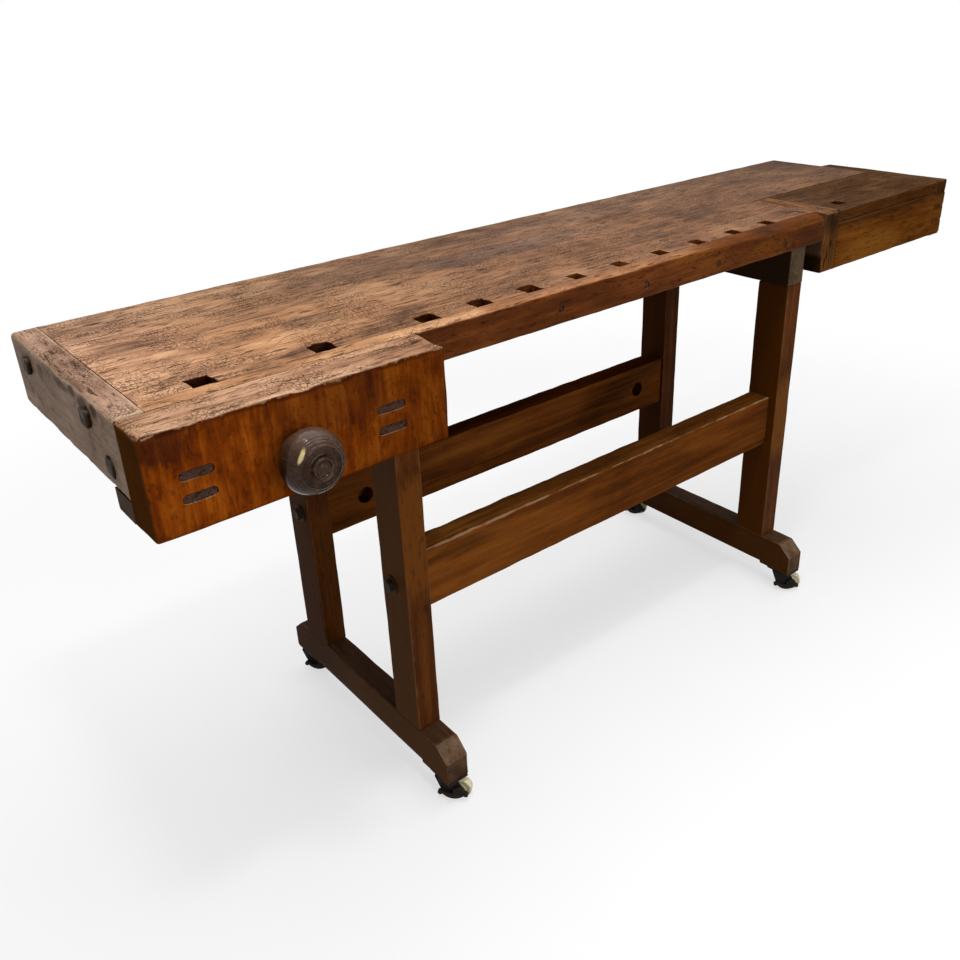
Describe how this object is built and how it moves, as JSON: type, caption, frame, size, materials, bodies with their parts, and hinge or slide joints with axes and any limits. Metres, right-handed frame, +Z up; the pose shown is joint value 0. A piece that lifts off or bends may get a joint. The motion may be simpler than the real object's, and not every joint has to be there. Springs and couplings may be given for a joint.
{
  "type": "woodworking bench with vises",
  "caption": "Long wooden workbench with dog holes, a sliding front vise, an L-shaped tail vise and a trestle stand on braked swivel casters.",
  "frame": {"origin": "on the floor under the middle of the overall box, vise hubs and bolt heads included", "axes": "+X along the bench from the front-vise end to the tail-vise end, +Y from the front face to the back, +Z up"},
  "size_m": [1.9924, 0.6166, 0.864],
  "materials": {
    "top_wood": "worn oil with crackled old varnish",
    "jaw_wood": "glossy amber varnish",
    "frame_wood": "dark satin varnish",
    "turned_wood": "dark polished",
    "tail_wood": "worn varnish",
    "iron": "dark oxidised",
    "cream_wheel": "aged cream"
  },
  "bodies": {
    "bench": {"top_slab": "top_wood", "dog_plank": "top_wood", "front_board": "top_wood", "end_cap": "top_wood", "front_cheek": "top_wood", "front_nut": "frame_wood", "front_keeper": "frame_wood", "tail_nut": "frame_wood", "tail_keeper": "frame_wood", "end_cap_bolt_1": "iron", "end_cap_bolt_2": "iron", "end_cap_bolt_low": "iron", "foot_left": "frame_wood", "bearer_left": "frame_wood", "leg_left_front": "frame_wood", "stretcher_bolt_left_front": "iron", "caster_left_front_plate": "iron", "leg_left_back": "frame_wood", "stretcher_bolt_left_back": "iron", "caster_left_back_plate": "iron", "foot_right": "frame_wood", "bearer_right": "frame_wood", "leg_right_front": "frame_wood", "stretcher_bolt_right_front": "iron", "caster_right_front_plate": "iron", "leg_right_back": "frame_wood", "stretcher_bolt_right_back": "iron", "caster_right_back_plate": "iron", "stretcher_front": "frame_wood", "stretcher_back": "frame_wood"},
    "front_jaw": {"front_jaw": "jaw_wood", "front_guide_left": "turned_wood", "front_guide_right": "turned_wood", "front_garter": "frame_wood"},
    "front_screw": {"front_screw": "turned_wood", "front_hub": "turned_wood"},
    "tail_vise": {"tail_jaw": "tail_wood", "tail_rail": "tail_wood", "tail_plate": "tail_wood", "tail_end": "tail_wood", "tail_guide": "frame_wood", "tail_garter": "frame_wood"},
    "tail_screw": {"tail_screw": "turned_wood", "tail_hub": "turned_wood"},
    "caster_left_front_fork": {"caster_left_front_fork": "iron"},
    "caster_left_front_wheel": {"caster_left_front_wheel": "cream_wheel"},
    "caster_left_front_brake": {"caster_left_front_brake": "iron"},
    "caster_left_back_fork": {"caster_left_back_fork": "iron"},
    "caster_left_back_wheel": {"caster_left_back_wheel": "cream_wheel"},
    "caster_left_back_brake": {"caster_left_back_brake": "iron"},
    "caster_right_front_fork": {"caster_right_front_fork": "iron"},
    "caster_right_front_wheel": {"caster_right_front_wheel": "cream_wheel"},
    "caster_right_front_brake": {"caster_right_front_brake": "iron"},
    "caster_right_back_fork": {"caster_right_back_fork": "iron"},
    "caster_right_back_wheel": {"caster_right_back_wheel": "cream_wheel"},
    "caster_right_back_brake": {"caster_right_back_brake": "iron"}
  },
  "joints": [
    {"name": "front_jaw_slide", "type": "slide", "parent": "bench", "child": "front_jaw", "axis": [0, -1, 0], "range_m": [0, 0.2]},
    {"name": "front_screw_turn", "type": "hinge", "parent": "front_jaw", "child": "front_screw", "pos_m": [-0.78915, -0.242, 0.7797], "axis": [0, -1, 0], "continuous": true},
    {"name": "tail_vise_slide", "type": "slide", "parent": "bench", "child": "tail_vise", "axis": [1, 0, 0], "range_m": [0, 0.17]},
    {"name": "tail_screw_turn", "type": "hinge", "parent": "tail_vise", "child": "tail_screw", "pos_m": [0.92985, -0.0737, 0.7829], "axis": [1, 0, 0], "continuous": true},
    {"name": "caster_left_front_swivel", "type": "hinge", "parent": "bench", "child": "caster_left_front_fork", "pos_m": [-0.56615, -0.1997, 0.05], "axis": [0, 0, 1], "continuous": true},
    {"name": "caster_left_front_roll", "type": "hinge", "parent": "caster_left_front_fork", "child": "caster_left_front_wheel", "pos_m": [-0.55329, -0.21502, 0.021], "axis": [0.766, 0.6428, 0], "continuous": true},
    {"name": "caster_left_front_brake", "type": "hinge", "parent": "caster_left_front_fork", "child": "caster_left_front_brake", "pos_m": [-0.55329, -0.21502, 0.021], "axis": [0.766, 0.6428, 0], "range_deg": [0, 12]},
    {"name": "caster_left_back_swivel", "type": "hinge", "parent": "bench", "child": "caster_left_back_fork", "pos_m": [-0.56615, 0.2803, 0.05], "axis": [0, 0, 1], "continuous": true},
    {"name": "caster_left_back_roll", "type": "hinge", "parent": "caster_left_back_fork", "child": "caster_left_back_wheel", "pos_m": [-0.55329, 0.26498, 0.021], "axis": [0.766, 0.6428, 0], "continuous": true},
    {"name": "caster_left_back_brake", "type": "hinge", "parent": "caster_left_back_fork", "child": "caster_left_back_brake", "pos_m": [-0.55329, 0.26498, 0.021], "axis": [0.766, 0.6428, 0], "range_deg": [0, 12]},
    {"name": "caster_right_front_swivel", "type": "hinge", "parent": "bench", "child": "caster_right_front_fork", "pos_m": [0.41285, -0.1997, 0.05], "axis": [0, 0, 1], "continuous": true},
    {"name": "caster_right_front_roll", "type": "hinge", "parent": "caster_right_front_fork", "child": "caster_right_front_wheel", "pos_m": [0.42571, -0.21502, 0.021], "axis": [0.766, 0.6428, 0], "continuous": true},
    {"name": "caster_right_front_brake", "type": "hinge", "parent": "caster_right_front_fork", "child": "caster_right_front_brake", "pos_m": [0.42571, -0.21502, 0.021], "axis": [0.766, 0.6428, 0], "range_deg": [0, 12]},
    {"name": "caster_right_back_swivel", "type": "hinge", "parent": "bench", "child": "caster_right_back_fork", "pos_m": [0.41285, 0.2803, 0.05], "axis": [0, 0, 1], "continuous": true},
    {"name": "caster_right_back_roll", "type": "hinge", "parent": "caster_right_back_fork", "child": "caster_right_back_wheel", "pos_m": [0.42571, 0.26498, 0.021], "axis": [0.766, 0.6428, 0], "continuous": true},
    {"name": "caster_right_back_brake", "type": "hinge", "parent": "caster_right_back_fork", "child": "caster_right_back_brake", "pos_m": [0.42571, 0.26498, 0.021], "axis": [0.766, 0.6428, 0], "range_deg": [0, 12]}
  ],
  "couplings": [
    {"joint": "front_screw_turn", "follows": "front_jaw_slide", "rad_per_m": 494.74},
    {"joint": "tail_screw_turn", "follows": "tail_vise_slide", "rad_per_m": 494.74}
  ]
}
